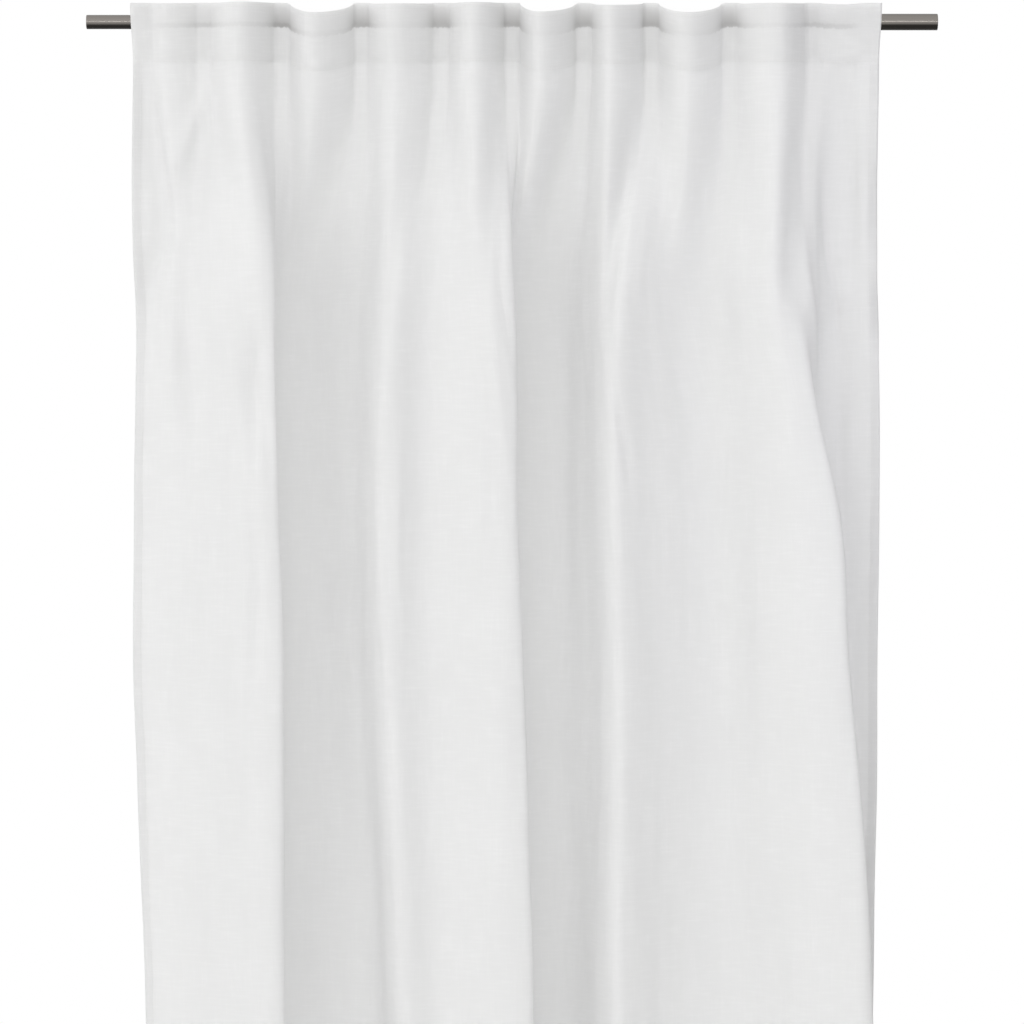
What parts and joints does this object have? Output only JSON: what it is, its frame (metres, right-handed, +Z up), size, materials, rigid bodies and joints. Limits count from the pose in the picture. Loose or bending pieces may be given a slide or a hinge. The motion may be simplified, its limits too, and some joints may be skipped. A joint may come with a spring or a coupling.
{
  "type": "fabric curtain panel",
  "caption": "Room curtain panel in woven linen, hung by hidden back tabs on a straight telescopic steel rod, with a heading tape and turned hems.",
  "frame": {"origin": "on the rod's axis, half way along the hung panel", "axes": "+Z up, +X along the rod to the viewer's right, +Y away from the room towards the window"},
  "size_m": [1.144, 0.1257, 2.5],
  "materials": {
    "linen_cloth": "matte",
    "woven_tape": "matte",
    "tab_ribbon": "matte",
    "brushed_steel": "satin"
  },
  "bodies": {
    "outer_rod": {"outer_tube": "brushed_steel"},
    "inner_rod": {"inner_tube": "brushed_steel"},
    "gather_01": {"back_tab_01": "tab_ribbon", "cloth_bay_01": "linen_cloth", "heading_tape_01": "woven_tape", "bottom_hem_01": "linen_cloth", "side_hem_left": "linen_cloth"},
    "gather_02": {"back_tab_02": "tab_ribbon", "cloth_bay_02": "linen_cloth", "heading_tape_02": "woven_tape", "bottom_hem_02": "linen_cloth"},
    "gather_03": {"back_tab_03": "tab_ribbon", "cloth_bay_03": "linen_cloth", "heading_tape_03": "woven_tape", "bottom_hem_03": "linen_cloth"},
    "gather_04": {"back_tab_04": "tab_ribbon", "cloth_bay_04": "linen_cloth", "heading_tape_04": "woven_tape", "bottom_hem_04": "linen_cloth"},
    "gather_05": {"back_tab_05": "tab_ribbon", "cloth_bay_05": "linen_cloth", "heading_tape_05": "woven_tape", "bottom_hem_05": "linen_cloth"},
    "gather_06": {"back_tab_06": "tab_ribbon", "cloth_bay_06": "linen_cloth", "heading_tape_06": "woven_tape", "bottom_hem_06": "linen_cloth"},
    "gather_07": {"back_tab_07": "tab_ribbon", "cloth_bay_07": "linen_cloth", "heading_tape_07": "woven_tape", "bottom_hem_07": "linen_cloth"},
    "gather_08": {"back_tab_08": "tab_ribbon", "cloth_bay_08": "linen_cloth", "heading_tape_08": "woven_tape", "bottom_hem_08": "linen_cloth"},
    "gather_09": {"back_tab_09": "tab_ribbon", "cloth_bay_09": "linen_cloth", "heading_tape_09": "woven_tape", "bottom_hem_09": "linen_cloth"},
    "gather_10": {"back_tab_10": "tab_ribbon", "cloth_bay_10": "linen_cloth", "heading_tape_10": "woven_tape", "bottom_hem_10": "linen_cloth"},
    "gather_11": {"back_tab_11": "tab_ribbon", "side_hem_right": "linen_cloth"}
  },
  "joints": [
    {"name": "rod_extend", "type": "slide", "parent": "outer_rod", "child": "inner_rod", "axis": [-1, 0, 0], "range_m": [-0.06, 0.1]},
    {"name": "panel_shift", "type": "slide", "parent": "outer_rod", "child": "gather_01", "axis": [1, 0, 0], "range_m": [-0.05, 0.06]},
    {"name": "panel_draw", "type": "slide", "parent": "gather_01", "child": "gather_11", "axis": [-1, 0, 0], "range_m": [0, 0.6797], "deforming": ["cloth_bay_01", "heading_tape_01", "bottom_hem_01", "side_hem_left", "side_hem_right"]},
    {"name": "draw_02", "type": "slide", "parent": "gather_01", "child": "gather_02", "axis": [-1, 0, 0], "range_m": [0, 0.0562], "deforming": ["cloth_bay_02", "heading_tape_02", "bottom_hem_02"]},
    {"name": "draw_03", "type": "slide", "parent": "gather_01", "child": "gather_03", "axis": [-1, 0, 0], "range_m": [0, 0.1296], "deforming": ["cloth_bay_03", "heading_tape_03", "bottom_hem_03"]},
    {"name": "draw_04", "type": "slide", "parent": "gather_01", "child": "gather_04", "axis": [-1, 0, 0], "range_m": [0, 0.2044], "deforming": ["cloth_bay_04", "heading_tape_04", "bottom_hem_04"]},
    {"name": "draw_05", "type": "slide", "parent": "gather_01", "child": "gather_05", "axis": [-1, 0, 0], "range_m": [0, 0.2792], "deforming": ["cloth_bay_05", "heading_tape_05", "bottom_hem_05"]},
    {"name": "draw_06", "type": "slide", "parent": "gather_01", "child": "gather_06", "axis": [-1, 0, 0], "range_m": [0, 0.3458], "deforming": ["cloth_bay_06", "heading_tape_06", "bottom_hem_06"]},
    {"name": "draw_07", "type": "slide", "parent": "gather_01", "child": "gather_07", "axis": [-1, 0, 0], "range_m": [0, 0.4131], "deforming": ["cloth_bay_07", "heading_tape_07", "bottom_hem_07"]},
    {"name": "draw_08", "type": "slide", "parent": "gather_01", "child": "gather_08", "axis": [-1, 0, 0], "range_m": [0, 0.4763], "deforming": ["cloth_bay_08", "heading_tape_08", "bottom_hem_08"]},
    {"name": "draw_09", "type": "slide", "parent": "gather_01", "child": "gather_09", "axis": [-1, 0, 0], "range_m": [0, 0.5504], "deforming": ["cloth_bay_09", "heading_tape_09", "bottom_hem_09"]},
    {"name": "draw_10", "type": "slide", "parent": "gather_01", "child": "gather_10", "axis": [-1, 0, 0], "range_m": [0, 0.6285], "deforming": ["cloth_bay_10", "heading_tape_10", "bottom_hem_10"]}
  ],
  "couplings": [
    {"joint": "draw_02", "follows": "panel_draw", "ratio": 0.082},
    {"joint": "draw_03", "follows": "panel_draw", "ratio": 0.19},
    {"joint": "draw_04", "follows": "panel_draw", "ratio": 0.3},
    {"joint": "draw_05", "follows": "panel_draw", "ratio": 0.41},
    {"joint": "draw_06", "follows": "panel_draw", "ratio": 0.508},
    {"joint": "draw_07", "follows": "panel_draw", "ratio": 0.607},
    {"joint": "draw_08", "follows": "panel_draw", "ratio": 0.7},
    {"joint": "draw_09", "follows": "panel_draw", "ratio": 0.809},
    {"joint": "draw_10", "follows": "panel_draw", "ratio": 0.924}
  ]
}
